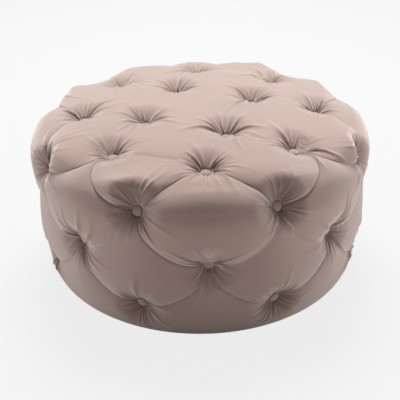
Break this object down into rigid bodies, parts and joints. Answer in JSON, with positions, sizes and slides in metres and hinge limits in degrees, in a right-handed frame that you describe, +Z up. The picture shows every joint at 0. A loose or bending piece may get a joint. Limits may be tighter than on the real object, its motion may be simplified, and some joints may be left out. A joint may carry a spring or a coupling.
{
  "type": "footstool",
  "caption": "Round low footstool with a deep-buttoned velvet cover over foam on a hidden plywood drum; it stands flat on low glides.",
  "frame": {"origin": "middle of the stool on the floor, under the glides", "axes": "+Z up through the middle of the seat; the pictured side faces -Y"},
  "size_m": [0.845, 0.845, 0.3993],
  "materials": {
    "velvet": "short-pile velvet, dusty rose taupe, soft sheen",
    "button_velvet": "the cover's velvet drawn over a button shell",
    "foam": "open-cell upholstery foam",
    "wadding": "bonded polyester wadding",
    "dust_cloth": "black spun-bonded dust cloth",
    "plywood": "raw birch plywood",
    "pine": "planed softwood",
    "hardboard": "bent hardboard",
    "zinc_steel": "zinc plated",
    "button_steel": "tinned steel",
    "twine": "waxed upholstery twine",
    "washer_plastic": "moulded",
    "glide_plastic": "moulded, low gloss"
  },
  "bodies": {
    "root": {"glides": "glide_plastic", "glide_screws": "zinc_steel", "dust_cover": "dust_cloth", "dust_cover_staples": "zinc_steel", "base_ring": "plywood", "uprights": "pine", "base_screws": "zinc_steel", "top_board": "plywood", "top_board_screws": "zinc_steel", "side_panel": "hardboard", "side_panel_nails": "zinc_steel", "side_foam": "foam", "seat_foam": "foam", "side_wadding_front": "wadding", "side_wadding_back": "wadding", "seat_wadding": "wadding", "cover_top": "velvet", "cover_side_front": "velvet", "cover_side_right": "velvet", "cover_side_back": "velvet", "cover_side_left": "velvet", "cover_staples": "zinc_steel", "buttons_top_inner": "button_velvet", "buttons_top_outer": "button_velvet", "buttons_side_upper": "button_velvet", "buttons_side_middle": "button_velvet", "buttons_side_lower": "button_velvet", "button_backs_top": "button_steel", "button_backs_side": "button_steel", "twine_top_inner": "twine", "twine_top_outer": "twine", "twine_side_upper": "twine", "twine_side_middle": "twine", "twine_side_lower": "twine", "tie_washers_top": "washer_plastic", "tie_washers_side": "washer_plastic"}
  },
  "joints": []
}
